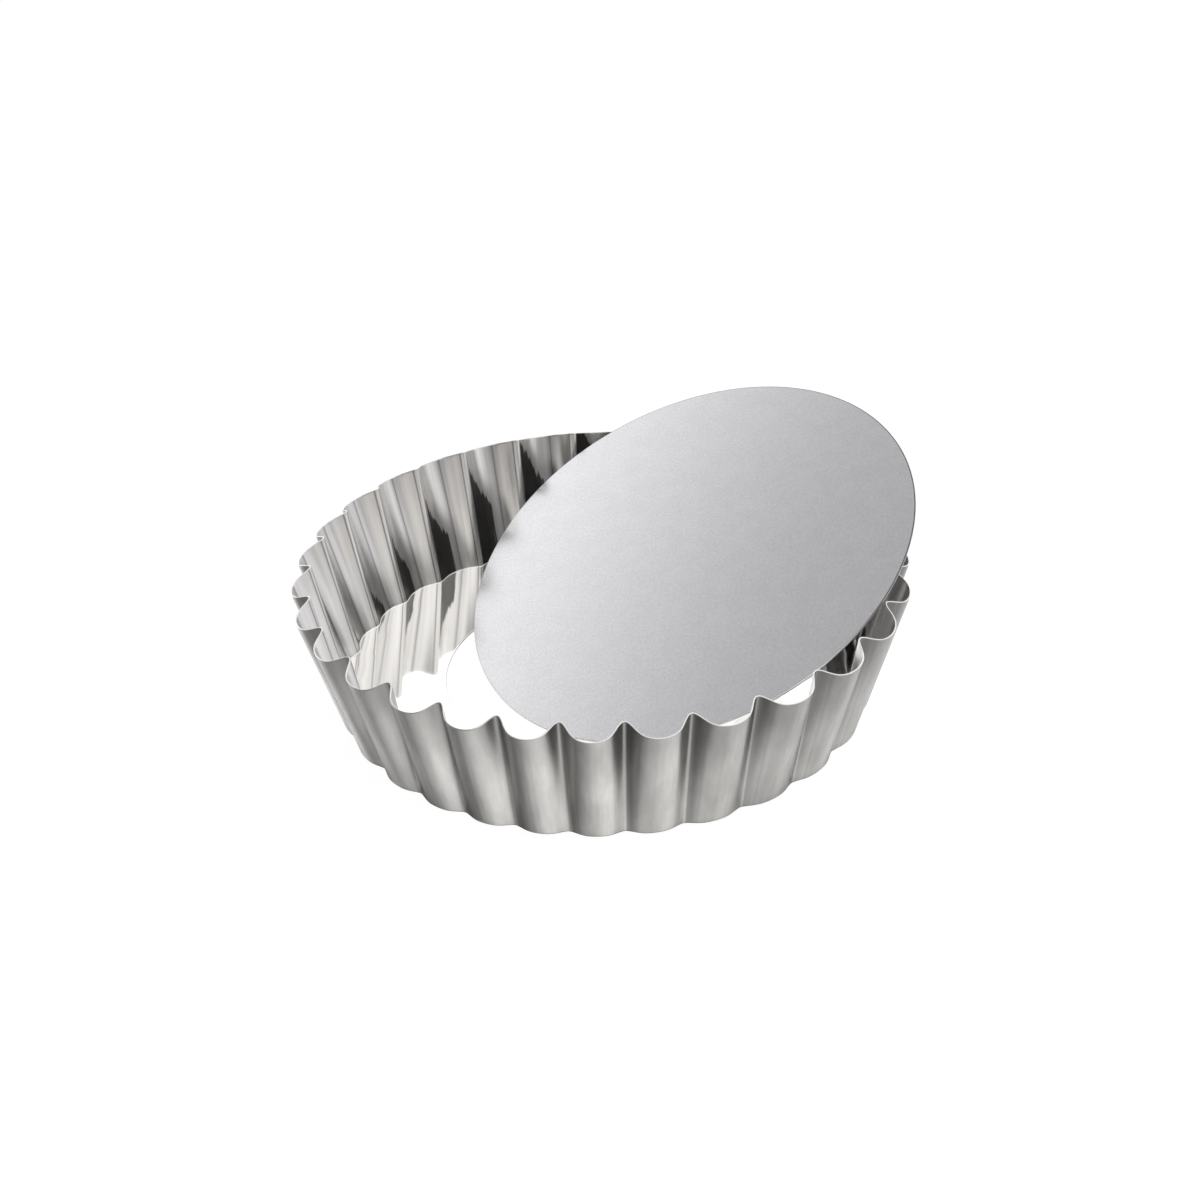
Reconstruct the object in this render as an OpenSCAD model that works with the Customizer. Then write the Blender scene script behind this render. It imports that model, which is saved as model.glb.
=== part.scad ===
// Quiche pan with a loose base: a fluted ring with a ledge, and a flat round base that
// leans over the ring. Origin on the ring's axis, in the plane of the ring's underside.

/* [Fluted ring] */
// Diameter over the crests of the flutes at the rim
rim_diameter = 230; // [222:1:240]
// Diameter over the crests of the flutes at the foot, before the foot is rounded
foot_diameter = 204.2; // [198:0.1:208]
// Height of the rim where a flute meets the next one
rim_height = 51.6; // [48:0.1:55]
// How far the rim dips at the crest of each flute
rim_dip = 3.2; // [1:0.2:5]
// Thickness of the ring's sheet
ring_sheet = 0.5; // [0.4:0.1:0.8]
// Outside radius of the bend between the ledge and the wall
foot_bend = 1.2; // [1:0.1:4]
// Diameter of the push-out hole inside the ledge
hole_diameter = 123; // [110:1:130]

/* [Flutes] */
// Number of flutes round the wall
flutes = 30; // [24:1:34]
// Depth of a flute at the rim
rim_flute_depth = 6.6; // [5:0.2:9]
// Depth of a flute at the foot
foot_flute_depth = 2.4; // [1.5:0.1:4]
// How square a flute is at the rim, where 2 is a plain arch
rim_fullness = 8; // [2:1:14]
// How square a flute is at the foot, where 2 is a plain arch
foot_fullness = 4; // [2:1:8]
// How round the crease between two flutes is at the rim, where 0 is sharp
rim_crease_roundness = 0.3; // [0.05:0.01:0.4]
// How round the crease between two flutes is at the foot, where 0 is sharp
foot_crease_roundness = 0.08; // [0.05:0.01:0.4]
// Azimuth of the first crease, in degrees
first_crease = -143.85; // [-146:0.05:-142]
// Uneven spacing of the creases that comes once round the ring, in degrees
drift_once = 0.57; // [0:0.01:1]
// Uneven spacing of the creases that comes twice round the ring, in degrees
drift_twice = 2.05; // [0:0.05:2.5]
// Uneven spacing of the creases that comes three times round the ring, in degrees
drift_thrice = 1.58; // [0:0.01:1.8]

/* [Loose base] */
// Diameter of the base
base_diameter = 182; // [174:0.5:186]
// Thickness of the base's sheet
base_sheet = 0.8; // [0.6:0.1:1.2]
// Lean of the base against the rim, from flat
lean_angle = 26; // [25:0.1:32]
// Azimuth that the leaning base rises towards
lean_heading = 31.5; // [28:0.5:35]
// Gap under the base's low edge, nearly doubled where the base leans on the rim
lean_clearance = 0.4; // [0.1:0.1:0.5]

/* [Hidden] */

// Columns of points in one flute, closer together near its creases
flute_columns = 14;
column_bunching = 0.6;
// Share of the wall's height at each ring of points above the foot bend
wall_levels = [1 / 3, 2 / 3, 1];
// Share of the foot bend's angle at each ring of points below the wall
bend_levels = [0, 0.5, 1];
// How far a cutter runs past the faces that it opens
cut_overrun = 2;

columns = flutes * flute_columns;
crease_pitch = 360 / flutes;
rim_crease_radius = rim_diameter / 2 - rim_flute_depth;
foot_crease_radius = foot_diameter / 2 - foot_flute_depth;
base_radius = base_diameter / 2;

function between(a, b, share) = a + (b - a) * share;
function round_axis(radius, azimuth) = [radius * cos(azimuth), radius * sin(azimuth)];

// Azimuth of a crease, with the slow uneven spacing of a hand-finished tool
function even_crease(i) = first_crease + crease_pitch * i;
function drifted(a) = a + drift_once * sin(a) + drift_twice * cos(2 * a) + drift_thrice * cos(3 * a);
function crease(i) = drifted(even_crease(i));

// Place of a column across its flute, from 0 at one crease to 1 at the next
function column_share(c) = (c % flute_columns) / flute_columns;
function across(c) = column_share(c) - column_bunching * sin(360 * column_share(c)) / (2 * PI);
function flute_of(c) = floor(c / flute_columns);
function azimuth(c) = between(crease(flute_of(c)), crease(flute_of(c) + 1), across(c));

// Swell of a flute at a place across it: a square-shouldered arch and a plain arch in
// equal shares, 0 at its creases and 1 at its crest
function shoulder(u, fullness) = 1 - pow(abs(cos(180 * u)), fullness);
function soft(rise, roundness) = sqrt(rise * rise + roundness * roundness) - roundness;
function arch(u, roundness) = soft(sin(180 * u), roundness) / soft(1, roundness);
function rim_swell(c) = (shoulder(across(c), rim_fullness) + arch(across(c), rim_crease_roundness)) / 2;
function foot_swell(c) = (shoulder(across(c), foot_fullness) + arch(across(c), foot_crease_roundness)) / 2;

// Outside of the wall at a column: its foot, its rim and its slope from upright
function foot_radius(c) = foot_crease_radius + foot_flute_depth * foot_swell(c);
function rim_radius(c) = rim_crease_radius + rim_flute_depth * rim_swell(c);
function rim_top(c) = rim_height - rim_dip * rim_swell(c);
function slope(c) = atan((rim_radius(c) - foot_radius(c)) / rim_top(c));

// Radius and height on the outside of the foot bend and of the wall
function bend_turn(c, level) = (90 - slope(c)) * level;
function bend_start(c) = foot_radius(c) - foot_bend * tan((90 - slope(c)) / 2);
function bend_point(c, level) = [
    bend_start(c) + foot_bend * sin(bend_turn(c, level)),
    foot_bend * (1 - cos(bend_turn(c, level)))
];
function wall_point(c, level) = [
    between(foot_radius(c), rim_radius(c), level),
    rim_top(c) * level
];
function at_azimuth(c, p) = [p[0] * cos(azimuth(c)), p[0] * sin(azimuth(c)), p[1]];
function outer_bend(c, level) = at_azimuth(c, bend_point(c, level));
function outer_wall(c, level) = at_azimuth(c, wall_point(c, level));

// Level direction that points out of the sheet, from a point's two neighbours in its ring
function outward(before, after) =
    let (run = after - before)
    [run[1], -run[0], 0] / norm([run[0], run[1]]);
function bend_outward(c, level) = outward(outer_bend(c - 1, level), outer_bend(c + 1, level));
function wall_outward(c, level) = outward(outer_wall(c - 1, level), outer_wall(c + 1, level));

// Inside of the sheet, one sheet thickness square to its outside
function inner_bend(c, level) =
    outer_bend(c, level)
    - ring_sheet * sin(bend_turn(c, level)) * bend_outward(c, level)
    + ring_sheet * cos(bend_turn(c, level)) * [0, 0, 1];
function inner_wall(c, level) =
    outer_wall(c, level) - ring_sheet / cos(slope(c)) * wall_outward(c, level);

// Rings of points up the outside and down the inside, from the underside to the ledge's top.
// Column numbers start one flute on, so that a column always has a neighbour before it.
first_column = flute_columns;
last_column = flute_columns + columns - 1;
bend_top = len(bend_levels) - 1;
wall_top = len(wall_levels) - 1;
ring_points = [
    for (k = [0:bend_top]) [for (c = [first_column:last_column]) outer_bend(c, bend_levels[k])],
    for (k = [0:wall_top]) [for (c = [first_column:last_column]) outer_wall(c, wall_levels[k])],
    for (k = [wall_top:-1:0]) [for (c = [first_column:last_column]) inner_wall(c, wall_levels[k])],
    for (k = [bend_top:-1:0]) [for (c = [first_column:last_column]) inner_bend(c, bend_levels[k])]
];
last_ring = len(ring_points) - 1;

// Leaning base: the setback of its low edge behind the axis is the least at which it clears
// the inside of every crease at the rim. A crease counts while the base is above it.
rim_crease_inside = rim_crease_radius - ring_sheet;
function toward(i) = rim_crease_inside * cos(crease(i) - lean_heading);
function aside(i) = rim_crease_inside * sin(crease(i) - lean_heading);
function half_chord(i) = sqrt(max(0, base_radius * base_radius - aside(i) * aside(i)));
function base_end_height(i) = (base_radius + half_chord(i)) * sin(lean_angle);
function setback_for(i) = min(rim_height, base_end_height(i)) / tan(lean_angle) - toward(i);
low_edge_setback =
    max([for (i = [0:flutes - 1]) if (toward(i) > 0 && abs(aside(i)) < base_radius) setback_for(i)])
    + lean_clearance / sin(lean_angle);

// Solid cup with a closed floor, the ring before its hole is cut
module fluted_cup() {
    function at(ring, c) = ring * columns + c % columns;
    strips = [
        for (ring = [0:last_ring - 1], c = [0:columns - 1]) each [
            [at(ring, c), at(ring + 1, c), at(ring, c + 1)],
            [at(ring, c + 1), at(ring + 1, c), at(ring + 1, c + 1)]
        ]
    ];
    underside = [for (c = [0:columns - 1]) at(0, c)];
    ledge_top = [for (c = [columns - 1:-1:0]) at(last_ring, c)];
    polyhedron(
        points = [for (ring = ring_points) each ring],
        faces = concat(strips, [underside, ledge_top]),
        convexity = 8
    );
}

// One pressing: fluted wall, rounded foot and flat ledge round the push-out hole
module fluted_ring() {
    color("gainsboro")
    difference() {
        fluted_cup();
        translate([0, 0, -cut_overrun])
            cylinder(d = hole_diameter, h = ring_sheet + 2 * cut_overrun, $fn = 180);
    }
}

// Flat disc that stands with its low edge on the table and leans over the rim
module loose_base() {
    color("silver")
    rotate([0, 0, lean_heading])
    translate([-low_edge_setback, 0, lean_clearance])
    rotate([0, -lean_angle, 0])
    translate([base_radius, 0, 0])
        cylinder(r = base_radius, h = base_sheet, $fn = 180);
}

fluted_ring();
loose_base();
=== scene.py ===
import math
import bmesh
import bpy
import numpy as np
from mathutils import Matrix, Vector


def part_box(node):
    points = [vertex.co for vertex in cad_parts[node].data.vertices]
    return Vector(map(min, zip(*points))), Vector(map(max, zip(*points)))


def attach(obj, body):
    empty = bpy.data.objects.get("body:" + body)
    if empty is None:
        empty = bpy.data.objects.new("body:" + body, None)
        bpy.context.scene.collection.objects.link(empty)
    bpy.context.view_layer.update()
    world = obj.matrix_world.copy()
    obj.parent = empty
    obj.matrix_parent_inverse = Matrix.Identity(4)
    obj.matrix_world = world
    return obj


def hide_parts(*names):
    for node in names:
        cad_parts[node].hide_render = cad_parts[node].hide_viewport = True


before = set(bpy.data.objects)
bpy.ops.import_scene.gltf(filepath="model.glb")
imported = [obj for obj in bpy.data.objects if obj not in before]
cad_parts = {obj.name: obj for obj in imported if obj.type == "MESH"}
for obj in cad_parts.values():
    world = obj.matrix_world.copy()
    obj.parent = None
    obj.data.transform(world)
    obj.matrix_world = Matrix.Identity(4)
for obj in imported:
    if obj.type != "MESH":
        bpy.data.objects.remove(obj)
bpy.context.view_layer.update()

# The viewpoint: the pan is seen from in front and above, from 63 cm away, with the picture
# turned a little anticlockwise.
camera_distance = 0.6273
camera_elevation = math.radians(30.889)
camera_roll = math.radians(-1.928)
camera_aim = np.array([-0.0006, 0.0, 0.0321])
camera_lens_mm = 49.57
camera_sensor_mm = 36.0


def placed(right, up, back, place):
    """The matrix of an object at a place, with its own axes along three directions."""
    return Matrix([[*row] for row in zip(right, up, back, place)] + [[0, 0, 0, 1]])


back = np.array([0.0, -math.cos(camera_elevation), math.sin(camera_elevation)])
level_right = np.array([1.0, 0.0, 0.0])
level_up = np.cross(back, level_right)
right = math.cos(camera_roll) * level_right + math.sin(camera_roll) * level_up
up = math.cos(camera_roll) * level_up - math.sin(camera_roll) * level_right

camera = bpy.data.objects.new("camera", bpy.data.cameras.new("camera"))
camera.data.lens = camera_lens_mm
camera.data.sensor_width = camera_sensor_mm
camera.matrix_world = placed(right, up, back, camera_aim + camera_distance * back)
bpy.context.scene.collection.objects.link(camera)
bpy.context.scene.camera = camera
bpy.context.scene.view_settings.view_transform = "Standard"


# The studio: a white tent, brightest behind the pan and low down, dimmer at its sides and
# overhead, and open on the viewer's side, where the dark room shows in the metal. Two large
# softboxes hang above the pan. The camera sees the tent as plain white.
tent_low = 1.3
tent_overhead = 0.42
tent_side_share = 0.2
tent_right_share = 0.8
room_black = 0.03
softbox_aim = (0.0, 0.0, 0.03)

# Each pair says how far a direction points up, back, right or to the viewer where a change
# begins and where it ends: 0 is square to that way, and 1 is straight along it.
tent_dims_between = (0.56, 0.75)
tent_sides_end = (0.1, 0.42)
tent_right_starts = (0.15, 0.45)
room_starts = (0.0, 0.5)
room_ends_upward = (0.3, 0.65)


def node(tree, kind, inputs=None, **settings):
    """A new node of a kind, with its settings, and its inputs given by name or number as
    values, or as sockets to link."""
    made = tree.nodes.new(kind)
    for name, value in settings.items():
        setattr(made, name, value)
    for key, value in (inputs or {}).items():
        if isinstance(value, bpy.types.NodeSocket):
            tree.links.new(value, made.inputs[key])
        else:
            made.inputs[key].default_value = value
    return made


def smooth_step(tree, value, low, high, start=0.0, end=1.0):
    """A smooth change from start, where the value is at low, to end, where it is at high."""
    step = node(tree, "ShaderNodeMapRange", {
        "Value": value, "From Min": low, "From Max": high, "To Min": start, "To Max": end,
    }, interpolation_type="SMOOTHSTEP")
    return step.outputs["Result"]


def maths(tree, operation, a, b=0.0):
    """One operation on one or two numbers or sockets."""
    return node(tree, "ShaderNodeMath", {0: a, 1: b}, operation=operation).outputs[0]


def product(tree, first, *others):
    """All the numbers or sockets multiplied."""
    for other in others:
        first = maths(tree, "MULTIPLY", first, other)
    return first


world = bpy.data.worlds.new("tent")
bpy.context.scene.world = world
world.use_nodes = True
tree = world.node_tree
tree.nodes.clear()
way = node(tree, "ShaderNodeTexCoord").outputs["Generated"]
to_right, to_back, to_top = node(tree, "ShaderNodeSeparateXYZ", {0: way}).outputs
facing_room = smooth_step(tree, product(tree, to_back, -1.0), *room_starts)
below_top = smooth_step(tree, to_top, *room_ends_upward, start=1.0, end=0.0)
room = product(tree, facing_room, below_top)
tent_white = smooth_step(tree, to_top, *tent_dims_between, start=tent_low, end=tent_overhead)
tent_side = smooth_step(tree, to_back, *tent_sides_end, start=tent_side_share, end=1.0)
tent_right = smooth_step(tree, to_right, *tent_right_starts, start=1.0, end=tent_right_share)
tent_grey = product(tree, tent_side, tent_right, tent_white)
tent_light = node(tree, "ShaderNodeMix", {0: room, 2: tent_grey, 3: room_black}).outputs[0]
lit_tent = node(tree, "ShaderNodeBackground", {"Color": (1, 1, 1, 1), "Strength": tent_light})
seen_tent = node(tree, "ShaderNodeBackground", {"Color": (1, 1, 1, 1), "Strength": 1.0})
ray = node(tree, "ShaderNodeLightPath")
tent = node(tree, "ShaderNodeMixShader", {
    0: ray.outputs["Is Camera Ray"], 1: lit_tent.outputs[0], 2: seen_tent.outputs[0],
})
node(tree, "ShaderNodeOutputWorld", {"Surface": tent.outputs[0]})


def softbox(name, place, aim, side_length, watts):
    """A square lamp at a place, facing the aim point."""
    lamp = bpy.data.lights.new(name, "AREA")
    lamp.shape = "SQUARE"
    lamp.size = side_length
    lamp.energy = watts
    away = np.array(place) - np.array(aim)
    away = away / np.linalg.norm(away)
    side = np.cross([0.0, 0.0, 1.0], away)
    side = side / np.linalg.norm(side)
    made = bpy.data.objects.new(name, lamp)
    made.matrix_world = placed(side, np.cross(away, side), away, place)
    bpy.context.scene.collection.objects.link(made)


softbox("right_softbox", (0.53, -0.2, 0.83), softbox_aim, side_length=1.87, watts=5.0)
softbox("front_softbox", (0.32, -0.38, 0.87), softbox_aim, side_length=2.04, watts=6.4)

# The table: a white board under the pan. The camera sees it white with a faint shadow, and
# the metal sees it as a partly glossy board lit by the lamps, dark where the pan shades it.
board_half_side = 1.5
board_white = (0.22, 0.22, 0.22, 1.0)
board_shine = (0.75, 0.75, 0.75, 1.0)
board_roughness = 0.3
faint_paint = (0.1, 0.1, 0.1, 1.0)
faint_glow = 0.96


def new_material(name):
    """A new material and its empty tree of nodes."""
    made = bpy.data.materials.new(name)
    made.use_nodes = True
    made.node_tree.nodes.clear()
    return made, made.node_tree


board_mesh = bpy.data.meshes.new("white_board")
corner_ways = [(-1, -1), (1, -1), (1, 1), (-1, 1)]
board_corners = [(x * board_half_side, y * board_half_side, 0.0) for x, y in corner_ways]
board_mesh.from_pydata(board_corners, [], [(0, 1, 2, 3)])
board = bpy.data.objects.new("white_board", board_mesh)
bpy.context.scene.collection.objects.link(board)
board_paper, tree = new_material("white_board")
matt = node(tree, "ShaderNodeBsdfDiffuse", {"Color": board_white})
shine = node(tree, "ShaderNodeBsdfAnisotropic", {"Color": board_shine, "Roughness": board_roughness})
paper = node(tree, "ShaderNodeAddShader", {0: matt.outputs[0], 1: shine.outputs[0]})
faint = node(tree, "ShaderNodeBsdfDiffuse", {"Color": faint_paint})
glow = node(tree, "ShaderNodeEmission", {"Strength": faint_glow})
seen = node(tree, "ShaderNodeAddShader", {0: faint.outputs[0], 1: glow.outputs[0]})
ray = node(tree, "ShaderNodeLightPath")
either = node(tree, "ShaderNodeMixShader", {
    0: ray.outputs["Is Camera Ray"], 1: paper.outputs[0], 2: seen.outputs[0],
})
node(tree, "ShaderNodeOutputMaterial", {"Surface": either.outputs[0]})
board_mesh.materials.append(board_paper)

# The fluted ring: one pressing of bright tinplate, drawn and fluted in a press, with the
# ledge for the base turned in at the foot and the rim left as a cut edge.
flute_count = 30
ring_sheet = 0.0005
rim_crest_radius = 0.115
rim_flute_depth = 0.0066
foot_crest_radius = 0.1021
foot_flute_depth = 0.0024
rim_height = 0.0516
rim_dip = 0.0032
foot_bend = 0.0012
hole_radius = 0.0615
rim_fullness = 8
foot_fullness = 4
rim_crease_roundness = 0.3
foot_crease_roundness = 0.08
first_crease = math.radians(-143.85)
drift_once = math.radians(0.57)
drift_twice = math.radians(2.05)
drift_thrice = math.radians(1.58)


def between(a, b, share):
    """The value at a share of the way from a to b."""
    return a + (b - a) * share


def crease_azimuth(number):
    """Azimuth of a crease: even spacing, plus a slow drift that comes once, twice and
    three times round the ring."""
    even = first_crease + number * 2 * np.pi / flute_count
    return (
        even
        + drift_once * np.sin(even)
        + drift_twice * np.cos(2 * even)
        + drift_thrice * np.cos(3 * even)
    )


def swell(across, fullness, roundness):
    """How far a flute bulges at a place across it: half a square-shouldered arch, one less
    the cosine to a power, and half a sine arch whose start is rounded off by adding the
    roundness to the sine as the sides of a right triangle."""
    shoulder = 1 - np.abs(np.cos(np.pi * across)) ** fullness
    soft = np.sqrt(np.sin(np.pi * across) ** 2 + roundness ** 2) - roundness
    return 0.5 * shoulder + 0.5 * soft / (math.sqrt(1 + roundness ** 2) - roundness)


def ring_outside(turns, along):
    """Outside of the ring's sheet. The first parameter counts flutes round the ring. The
    second runs from the hole out under the ledge (0 to 1), round the foot bend (1 to 2) and
    up the straight wall (2 to 3)."""
    flute = np.floor(turns)
    across = turns - flute
    azimuth = between(crease_azimuth(flute), crease_azimuth(flute + 1), across)
    foot_swell = swell(across, foot_fullness, foot_crease_roundness)
    rim_swell = swell(across, rim_fullness, rim_crease_roundness)
    foot = foot_crest_radius - foot_flute_depth * (1 - foot_swell)
    rim = rim_crest_radius - rim_flute_depth * (1 - rim_swell)
    top = rim_height - ring_sheet / 2 - rim_dip * rim_swell
    full_turn = np.pi / 2 - np.arctan((rim - foot) / top)
    bend_start = foot - foot_bend * np.tan(full_turn / 2)
    turn = full_turn * np.clip(along - 1, 0, 1)
    climb = np.clip(along - 2, 0, 1)
    bend_end = bend_start + foot_bend * np.sin(full_turn)
    bend_end_height = foot_bend * (1 - np.cos(full_turn))
    radius = between(hole_radius, bend_start, np.clip(along, 0, 1))
    radius = radius + foot_bend * np.sin(turn) + climb * (rim - bend_end)
    height = foot_bend * (1 - np.cos(turn)) + climb * (top - bend_end_height)
    return np.stack([radius * np.cos(azimuth), radius * np.sin(azimuth), height], axis=-1)


def unit(vectors):
    """The same directions at length one."""
    return vectors / np.linalg.norm(vectors, axis=-1, keepdims=True)


def surface_object(name, points, closed_rows, uv, slots, materials):
    """A mesh from a grid of points whose columns close on themselves, and whose rows do
    too if closed_rows. uv holds one more column and row of places than the grid needs to
    close, and slots one material number for each strip between two rows."""
    rows, columns = points.shape[:2]
    strips = rows if closed_rows else rows - 1
    number = np.arange(rows * columns).reshape(rows, columns)
    low = number[:strips]
    high = np.roll(number, -1, axis=0)[:strips]
    quads = np.stack([low, np.roll(low, -1, axis=1), np.roll(high, -1, axis=1), high], axis=-1)
    low_uv = uv[:strips]
    high_uv = uv[1:strips + 1]
    places = np.stack([low_uv[:, :-1], low_uv[:, 1:], high_uv[:, 1:], high_uv[:, :-1]], axis=2)
    mesh = bpy.data.meshes.new(name)
    mesh.vertices.add(rows * columns)
    mesh.vertices.foreach_set("co", points.reshape(-1))
    mesh.loops.add(quads.size)
    mesh.loops.foreach_set("vertex_index", quads.reshape(-1))
    mesh.polygons.add(strips * columns)
    mesh.polygons.foreach_set("loop_start", np.arange(0, quads.size, 4))
    mesh.polygons.foreach_set("material_index", np.repeat(slots, columns))
    mesh.polygons.foreach_set("use_smooth", np.ones(strips * columns, bool))
    mesh.update(calc_edges=True)
    layer = mesh.uv_layers.new(name="surface")
    layer.data.foreach_set("uv", places.reshape(-1))
    for material in materials:
        mesh.materials.append(material)
    mesh.validate()
    made = bpy.data.objects.new(name, mesh)
    bpy.context.scene.collection.objects.link(made)
    return made


def metal(tree, colour, roughness):
    """A metal shader as a tree's surface, its colour and roughness values or sockets."""
    shader = node(tree, "ShaderNodeBsdfPrincipled", {
        "Base Color": colour, "Metallic": 1.0, "Roughness": roughness,
    })
    node(tree, "ShaderNodeOutputMaterial", {"Surface": shader.outputs[0]})


def ramp(tree, value, stops):
    """A grey that follows a value from 0 to 1 through stops in order, each a place and a
    grey."""
    made = node(tree, "ShaderNodeValToRGB", {"Fac": value})
    made.color_ramp.interpolation = "EASE"
    points = made.color_ramp.elements
    for place, _ in stops[1:-1]:
        points.new(place)
    for point, (_, grey) in zip(points, stops):
        point.color = (grey, grey, grey, 1.0)
    return made.outputs["Color"]


def mixed(tree, factor, first, second, blend="MIX"):
    """Two colours blended by a factor."""
    mix = node(tree, "ShaderNodeMix", {
        "Factor": factor, 6: first, 7: second,
    }, data_type="RGBA", blend_type=blend)
    return mix.outputs[2]


def tinted(tree, colour, grey):
    """A colour times a grey."""
    return mixed(tree, 1.0, colour, grey, blend="MULTIPLY")


def sheet_places(tree):
    """How far round the ring a place lies, counted in flutes, and how far up its sheet."""
    uv = node(tree, "ShaderNodeUVMap", uv_map="surface").outputs[0]
    split = node(tree, "ShaderNodeSeparateXYZ", {0: uv})
    return split.outputs[0], split.outputs[1]


def streaks(tree, flutes_round, up_sheet, per_flute, up):
    """Noise drawn out up the wall: so many streaks to a flute, and so many along it."""
    stretched = node(tree, "ShaderNodeCombineXYZ", {
        0: product(tree, flutes_round, per_flute), 1: product(tree, up_sheet, up),
    }).outputs[0]
    noise = node(tree, "ShaderNodeTexNoise", {"Vector": stretched, "Scale": 1.0, "Detail": 3.0})
    return noise.outputs["Fac"]


def noise_step(tree, noise, start, end):
    """A value that goes from start to end as a noise goes from its low to its high parts."""
    return smooth_step(tree, noise, 0.3, 0.7, start=start, end=end)


def side_reflection_paint(tree, side, bands, brightest):
    """What a side's own painted reflection bands add to a plain paint of one: nothing off that
    side, and on it the bands times their brightest, less the one."""
    own = maths(tree, "SUBTRACT", product(tree, bands, brightest), 1.0)
    return product(tree, side, own)


# The outside of the wall is satin, with painted reflections and shade: the bands that a bright
# studio leaves across each flute, other ones on the left and on the right of the photographed
# side. Painted shade darkens it in a wedge under each crease at the rim, along the rim, and on
# the foot bend.
outside_tint = (0.94, 0.924, 0.896, 1.0)
# Painted reflections and shade across a flute, from crease to crease: a place and a grey.
front_reflection_bands = [
    (0.0, 1.0), (0.012, 0.95), (0.03, 0.5), (0.09, 0.43), (0.17, 0.62), (0.23, 0.73),
    (0.3, 0.69), (0.42, 0.69), (0.52, 0.8), (0.6, 0.92), (0.7, 1.0), (0.77, 1.0), (0.84, 0.78),
    (0.89, 0.69), (0.93, 0.75), (0.965, 0.76), (0.985, 0.95), (1.0, 1.0),
]
# Painted reflections and shade on the flutes on the left: their brightest and their bands.
left_reflection_brightest = 2.1
left_reflection_bands = [
    (0.0, 0.5), (0.012, 0.53), (0.03, 1.0), (0.06, 0.96), (0.1, 0.52), (0.15, 0.3),
    (0.21, 0.23), (0.3, 0.36), (0.4, 0.46), (0.5, 0.55), (0.6, 0.54), (0.7, 0.51), (0.78, 0.51),
    (0.84, 0.64), (0.9, 0.72), (0.965, 0.67), (0.985, 0.53), (1.0, 0.5),
]
# Painted reflections and shade on the flutes on the right: their brightest and their bands.
right_reflection_brightest = 1.25
right_reflection_bands = [
    (0.0, 0.6), (0.04, 0.85), (0.1, 1.0), (0.14, 0.86), (0.18, 0.68), (0.25, 0.62), (0.5, 0.66),
    (0.56, 0.6), (0.62, 0.5), (0.7, 0.44), (0.78, 0.48), (0.85, 0.58), (0.95, 0.58), (1.0, 0.62),
]
# Painted shade: a wedge under each crease at the rim, a band along the rim and a band on the foot
# bend.
rim_wedge_taper = 1.6
rim_wedge_edge = (0.3, 0.8)
rim_crease_shade_grey = 0.6
rim_shade_starts = 0.78
rim_shade_grey = 0.75
foot_shade_grey = 0.45
foot_shade_ends = (0.55, 0.69)
broad_streaks = (3.0, 7.0)
broad_streak_greys = (0.86, 1.04)
fine_streaks = (16.0, 12.0)
fine_streak_greys = (0.96, 1.04)
satin_roughnesses = (0.28, 0.33)

# Where the sides' painted reflection bands begin and end, counted in flutes round the ring.
left_side_ends = (2.5, 5.5)
left_side_starts = (25.0, 28.0)
right_side_starts = (5.2, 7.8)
right_side_ends = (14.0, 20.0)

outside, tree = new_material("satin_tinplate")
flutes_round, up_sheet = sheet_places(tree)
in_flute = maths(tree, "FRACT", flutes_round)
off_crest = maths(tree, "ABSOLUTE", maths(tree, "SUBTRACT", in_flute, 0.5))
below_rim = maths(tree, "SUBTRACT", up_sheet, 1.0)
# Painted shade in a wedge under each crease at the rim, along the rim and on the foot bend.
rim_wedge_reach = maths(
    tree, "ADD", product(tree, off_crest, 2.0), product(tree, below_rim, rim_wedge_taper)
)
rim_crease_shade = smooth_step(tree, rim_wedge_reach, *rim_wedge_edge, start=1.0, end=rim_crease_shade_grey)
rim_shade = smooth_step(tree, up_sheet, rim_shade_starts, 1.0, start=1.0, end=rim_shade_grey)
foot_shade = smooth_step(tree, up_sheet, *foot_shade_ends, start=foot_shade_grey, end=1.0)
broad = streaks(tree, flutes_round, up_sheet, *broad_streaks)
fine = streaks(tree, flutes_round, up_sheet, *fine_streaks)
streak = product(
    tree, noise_step(tree, broad, *broad_streak_greys), noise_step(tree, fine, *fine_streak_greys)
)
left_side = maths(
    tree, "ADD",
    smooth_step(tree, flutes_round, *left_side_starts),
    smooth_step(tree, flutes_round, *left_side_ends, start=1.0, end=0.0),
)
right_side = product(
    tree,
    smooth_step(tree, flutes_round, *right_side_starts),
    smooth_step(tree, flutes_round, *right_side_ends, start=1.0, end=0.0),
)
# The painted reflections of the left and right sides, added to a plain one.
left_reflection_paint = side_reflection_paint(tree, left_side, ramp(tree, in_flute, left_reflection_bands), left_reflection_brightest)
right_reflection_paint = side_reflection_paint(tree, right_side, ramp(tree, in_flute, right_reflection_bands), right_reflection_brightest)
sides = maths(tree, "ADD", maths(tree, "ADD", 1.0, left_reflection_paint), right_reflection_paint)
# Painted shade, the sides' painted reflections and the streaks, all in one grey.
grey = product(tree, rim_crease_shade, rim_shade, foot_shade, sides, streak)
reflection_banded = tinted(tree, outside_tint, ramp(tree, in_flute, front_reflection_bands))
metal(tree, tinted(tree, reflection_banded, grey), noise_step(tree, fine, *satin_roughnesses))

# The inside is mirror-bright on the ledge and satin up the wall, with painted reflections and
# shade in each flute: two thin dark lines and a broad pale band. A painted dark reflection, a
# wedge with a ragged side, stands against each crease, tallest at the back of the ring.
inside_tint = (0.94, 0.925, 0.905, 1.0)
ledge_tint = (0.97, 0.96, 0.945, 1.0)
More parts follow.
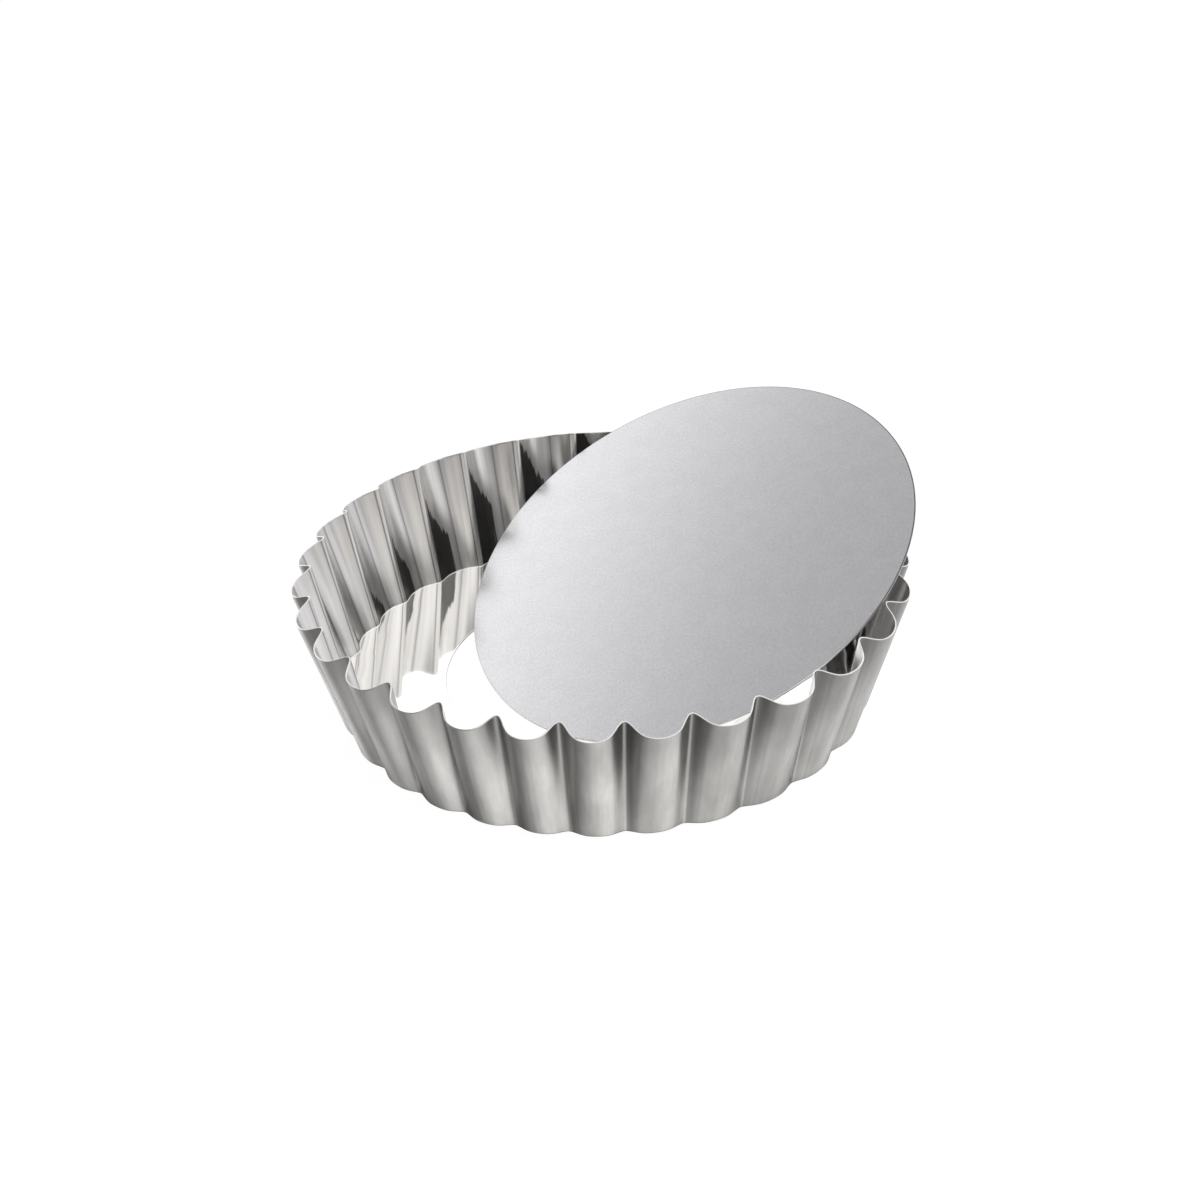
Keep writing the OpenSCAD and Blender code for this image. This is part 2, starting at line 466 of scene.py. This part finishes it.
# Painted reflections and shade across a flute: two thin dark lines and a broad pale band.
inside_reflection_bands = [
    (0.0, 0.8), (0.035, 0.9), (0.055, 0.35), (0.075, 0.9), (0.12, 1.0), (0.33, 0.87),
    (0.355, 0.7), (0.375, 0.36), (0.395, 0.7), (0.45, 0.88), (0.56, 0.9), (0.64, 1.0),
    (0.72, 1.0), (0.8, 1.0), (0.85, 0.95), (0.9, 1.0), (0.97, 1.0), (1.0, 0.8),
]
ledge_roughness = 0.06
wall_roughness = 0.33
mirror_ends = (0.3, 0.5)
wall_starts = (0.4, 0.65)
inside_streaks = (14.0, 2.0)
inside_streak_greys = (-0.1, 0.06)
inside_plain_grey = 0.96
# The painted dark reflection wedges: how they drop away from the back flute, narrow at the top, fray
# and end.
back_flute = 19.0
wedge_drop_per_flute = 0.14
wedge_narrows_above = 2.83
wedge_narrowing = 0.93
wedge_raggedness = 0.3
wedge_near_edge = (0.52, 0.58)
wedge_far_edge = (0.94, 0.98)
dark_reflection_grey = 0.15

inside, tree = new_material("bright_tinplate")
flutes_round, up_sheet = sheet_places(tree)
in_flute = maths(tree, "FRACT", flutes_round)
fine = streaks(tree, flutes_round, up_sheet, *inside_streaks)
on_wall = smooth_step(tree, up_sheet, *wall_starts)
wall_streak = product(tree, noise_step(tree, fine, *inside_streak_greys), on_wall)
streak = maths(tree, "ADD", wall_streak, inside_plain_grey)
off_back = maths(tree, "ABSOLUTE", maths(tree, "SUBTRACT", flutes_round, back_flute))
lift = maths(
    tree, "ADD", product(tree, up_sheet, 3.0), product(tree, off_back, wedge_drop_per_flute)
)
above = maths(tree, "MAXIMUM", maths(tree, "SUBTRACT", lift, wedge_narrows_above), 0.0)
wedge_start = product(tree, above, wedge_narrowing)
ragged = product(tree, maths(tree, "SUBTRACT", fine, 0.5), wedge_raggedness)
wedge_reach = maths(tree, "ADD", maths(tree, "SUBTRACT", in_flute, wedge_start), ragged)
far_end = smooth_step(tree, in_flute, *wedge_far_edge, start=1.0, end=0.0)
in_dark_reflection = product(tree, smooth_step(tree, wedge_reach, *wedge_near_edge), far_end)
# The painted dark reflection against each crease.
wedge = smooth_step(tree, in_dark_reflection, 0.0, 1.0, start=1.0, end=dark_reflection_grey)
reflection_banded = tinted(tree, inside_tint, ramp(tree, in_flute, inside_reflection_bands))
wall_colour = tinted(tree, reflection_banded, product(tree, wedge, streak))
metal(
    tree,
    mixed(tree, on_wall, ledge_tint, wall_colour),
    smooth_step(tree, up_sheet, *mirror_ends, start=ledge_roughness, end=wall_roughness),
)

cut_tint = (0.92, 0.91, 0.9, 1.0)
cut_roughness = 0.35
cut, tree = new_material("cut_tinplate")
metal(tree, cut_tint, cut_roughness)

columns_per_flute = 44
column_bunching = 0.6
ledge_rows = 5
bend_rows = 8
wall_rows = 16
row_beside_an_edge = 0.01
edge_turns = np.radians([30.0, 70.0, 110.0, 150.0])[:, None, None]

share = np.arange(columns_per_flute) / columns_per_flute
across = share - column_bunching * np.sin(2 * np.pi * share) / (2 * np.pi)
turns = (np.arange(flute_count)[:, None] + across[None, :]).reshape(-1)
along = np.concatenate([
    [0.0],
    np.linspace(row_beside_an_edge, 1, ledge_rows, endpoint=False),
    np.linspace(1, 2, bend_rows, endpoint=False),
    np.linspace(2, 3 - row_beside_an_edge, wall_rows),
    [3.0],
])
outer_face = ring_outside(turns[None, :], along[:, None])
round_way = np.roll(outer_face, -1, axis=1) - np.roll(outer_face, 1, axis=1)
along_way = np.gradient(outer_face, axis=0)
out_way = unit(np.cross(round_way, along_way))
half_sheet = ring_sheet / 2
middle = outer_face - half_sheet * out_way


def edge_round(row, sense):
    """Half round over an edge of the sheet at one row, from its outside to its inside, or
    back again with sense -1."""
    outward = np.cos(edge_turns) * out_way[row]
    past = np.sin(edge_turns) * unit(along_way[row])
    return middle[row] + half_sheet * sense * (outward + past)


ring_points = np.concatenate([
    outer_face,
    edge_round(-1, 1),
    (middle - half_sheet * out_way)[::-1],
    edge_round(0, -1),
])

# The strips in turn: the outside, the rim's edge, the inside and the hole's edge.
outer_rows = len(along)
edge_rows = len(edge_turns)
inner_start = outer_rows + edge_rows
ring_slots = np.zeros(len(ring_points), int)
ring_slots[outer_rows - 1:inner_start] = 2
ring_slots[inner_start:inner_start + outer_rows - 1] = 1
ring_slots[inner_start + outer_rows - 1:] = 2
up_rows = along / 3
sheet_rows = np.concatenate([up_rows, np.ones(edge_rows), up_rows[::-1], np.zeros(edge_rows + 1)])
ring_uv = np.stack(np.meshgrid(np.append(turns, flute_count), sheet_rows), axis=-1)
ring_materials = [outside, inside, cut]
ring = surface_object("fluted_ring_skin", ring_points, True, ring_uv, ring_slots, ring_materials)
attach(ring, "ring")
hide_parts("fluted_ring")

# The loose base: a flat disc of satin tinplate, cut from sheet and left plain, bright along
# its cut edge, with painted shade darkening the shoulder on either side of it. It stands with
# its low edge on the table and leans over the rim.
base_radius = 0.091
base_sheet = 0.0008
base_lean = math.radians(26.0)
base_heading = math.radians(31.5)
base_edge_round = 0.0003
base_columns = 288
base_face_rings = 10
base_tint = (0.85, 0.845, 0.868, 1.0)
base_roughness = 0.2
grain_scale = 1300.0
grain_greys = (0.95, 1.05)
cloud_scale = 120.0
cloud_greys = (0.985, 1.015)
shoulder_shade_between = (0.034, 0.052)
shoulder_bright = 0.92
shoulder_painted_shade = 0.15
shoulder_roughness = 0.3
weld_distance = 1e-6

lean_way = np.array([math.cos(base_heading), math.sin(base_heading), 0.0])
level_way = np.array([-math.sin(base_heading), math.cos(base_heading), 0.0])
rise_way = math.cos(base_lean) * lean_way + math.sin(base_lean) * np.array([0.0, 0.0, 1.0])
face_way = np.cross(rise_way, level_way)
base_low, base_high = (np.array(corner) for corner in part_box("loose_base"))
base_middle = (base_low + base_high) / 2 - face_way * base_sheet / 2

# Half the profile, from the middle of the upper face out over its shoulder, and the same
# back along the underside, with the cut edge between the two.
edge_arc = np.radians([0, 30, 60, 90])
flat_end = base_radius - 2 * base_edge_round
face_radii = np.append(
    np.linspace(0, flat_end, base_face_rings), base_radius - 1.4 * base_edge_round
)
edge_radii = base_radius - base_edge_round * (1 - np.sin(edge_arc))
edge_heights = base_sheet - base_edge_round * (1 - np.cos(edge_arc))
half_radii = np.concatenate([face_radii, edge_radii])
half_heights = np.concatenate([np.full(len(face_radii), base_sheet), edge_heights])
base_radii = np.concatenate([half_radii, half_radii[::-1]])[:, None, None]
base_heights = np.concatenate([half_heights, base_sheet - half_heights[::-1]])[:, None, None]
round_turn = np.linspace(0, 2 * np.pi, base_columns, endpoint=False)[None, :, None]
out_from_middle = np.cos(round_turn) * rise_way + np.sin(round_turn) * level_way
base_points = base_middle + base_radii * out_from_middle + base_heights * face_way

satin, tree = new_material("satin_base")
place = node(tree, "ShaderNodeTexCoord").outputs["Object"]
grain = node(tree, "ShaderNodeTexNoise", {"Vector": place, "Scale": grain_scale, "Detail": 3.0})
cloud = node(tree, "ShaderNodeTexNoise", {"Vector": place, "Scale": cloud_scale, "Detail": 4.0})
grain_grey = noise_step(tree, grain.outputs["Fac"], *grain_greys)
cloud_grey = noise_step(tree, cloud.outputs["Fac"], *cloud_greys)
metal(tree, tinted(tree, base_tint, product(tree, grain_grey, cloud_grey)), base_roughness)

# The shoulders take painted shade: dark where the base is high and bright near its low edge.
edge_shade_paint, tree = new_material("painted_shade_edge")
place = node(tree, "ShaderNodeTexCoord").outputs["Object"]
up_base = node(tree, "ShaderNodeSeparateXYZ", {0: place}).outputs["Z"]
shoulder_shade_paint = smooth_step(
    tree, up_base, *shoulder_shade_between, start=shoulder_bright, end=shoulder_painted_shade
)
metal(tree, shoulder_shade_paint, shoulder_roughness)

# The strips in turn: the face, a shoulder, the cut edge, a shoulder and the underside.
base_slots = np.zeros(len(base_points) - 1, int)
base_slots[len(face_radii) - 1:1 - len(face_radii)] = 2
base_slots[len(base_slots) // 2] = 1
round_shares = np.linspace(0, 1, base_columns + 1)
profile_shares = np.linspace(0, 1, len(base_points) + 1)
base_uv = np.stack(np.meshgrid(round_shares, profile_shares), axis=-1)
base_materials = [satin, cut, edge_shade_paint]
base = surface_object(
    "loose_base_disc", base_points[::-1], False, base_uv, base_slots, base_materials
)
welded = bmesh.new()
welded.from_mesh(base.data)
bmesh.ops.remove_doubles(welded, verts=welded.verts, dist=weld_distance)
welded.to_mesh(base.data)
welded.free()
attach(base, "base")
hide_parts("loose_base")
